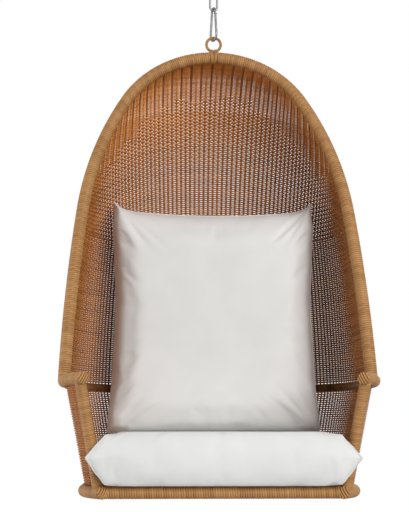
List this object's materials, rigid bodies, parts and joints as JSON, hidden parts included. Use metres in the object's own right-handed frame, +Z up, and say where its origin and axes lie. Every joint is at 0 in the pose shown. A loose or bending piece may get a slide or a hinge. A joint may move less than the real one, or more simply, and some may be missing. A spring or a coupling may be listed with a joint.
{
  "type": "hanging wicker chair",
  "caption": "Egg-shaped wicker hanging chair: a woven hood on a wrapped pole frame, with loose seat and back cushions, hung by a ring, snap hook and chain.",
  "frame": {"origin": "centre of the ceiling plate's upper face, on the vertical line that the chair hangs on", "axes": "+X to the sitter's left (the viewer's right in the picture), +Y to the back of the chair, +Z up"},
  "size_m": [0.6968, 0.7047, 1.2838],
  "materials": {
    "steel": "zinc-plated, satin",
    "pole": "bare cane pole, dark stain, satin",
    "peel": "cane peel wound tightly, satin",
    "weave": "woven round reed, satin",
    "cover": "off-white plain-weave cotton",
    "filling": "loose fibre filling"
  },
  "bodies": {
    "ceiling_mount": {"ceiling_plate": "steel", "ceiling_eye": "steel"},
    "top_link": {"chain_link_top": "steel"},
    "middle_link": {"chain_link_middle": "steel"},
    "lower_link": {"chain_link_lower": "steel"},
    "snap_hook": {"carabiner_hook": "steel", "gate_pin": "steel"},
    "gate": {"carabiner_gate": "steel", "gate_spring": "steel", "gate_plunger": "steel"},
    "chair": {"rim_hoop": "pole", "arm_rail": "pole", "front_post_left": "pole", "front_post_right": "pole", "seat_rail": "pole", "seat_front_rail": "pole", "seat_bar_front": "pole", "seat_bar_middle": "pole", "seat_bar_back": "pole", "ring_binding": "peel", "ring_lashing": "peel", "rim_binding_left": "peel", "rim_binding_right": "peel", "arm_binding_left": "peel", "arm_binding_right": "peel", "post_binding_left": "peel", "post_binding_right": "peel", "seat_rail_binding": "peel", "front_rail_binding": "peel", "rail_end_caps": "peel", "woven_hood": "weave", "woven_basket": "weave", "seat_deck": "weave", "hanging_ring": "steel", "frame_screws": "steel"},
    "seat_cushion": {"seat_cushion_cover": "cover", "seat_cushion_filling": "filling"},
    "back_cushion": {"back_cushion_cover": "cover", "back_cushion_filling": "filling"}
  },
  "joints": [
    {"name": "top_link_swing", "type": "hinge", "parent": "ceiling_mount", "child": "top_link", "pos_m": [0, 0, -0.033], "axis": [0, 1, 0], "range_deg": [-30, 30]},
    {"name": "middle_link_swing", "type": "hinge", "parent": "top_link", "child": "middle_link", "pos_m": [0, 0, -0.0672], "axis": [1, 0, 0], "range_deg": [-30, 30]},
    {"name": "lower_link_twist", "type": "hinge", "parent": "middle_link", "child": "lower_link", "pos_m": [0, 0, -0.1029], "axis": [0, 0, 1], "range_deg": [-25, 25]},
    {"name": "hook_swing", "type": "hinge", "parent": "lower_link", "child": "snap_hook", "pos_m": [0, 0, -0.13305], "axis": [0.4384, -0.8988, 0], "range_deg": [-15, 15]},
    {"name": "chair_swing", "type": "hinge", "parent": "snap_hook", "child": "chair", "pos_m": [0, 0, -0.207], "axis": [1, 0, 0], "range_deg": [-20, 20]},
    {"name": "gate_hinge", "type": "hinge", "parent": "snap_hook", "child": "gate", "pos_m": [0.00365, -0.00749, -0.14768], "axis": [0.8988, 0.4384, 0], "range_deg": [0, 25], "stiffness_Nm_per_rad": 0.05, "springref_deg": -34.38},
    {"name": "seat_cushion_slide", "type": "slide", "parent": "chair", "child": "seat_cushion", "axis": [0, -1, 0], "range_m": [0, 0.62]},
    {"name": "back_cushion_slide", "type": "slide", "parent": "chair", "child": "back_cushion", "axis": [0, -1, 0], "range_m": [0, 0.45]}
  ]
}
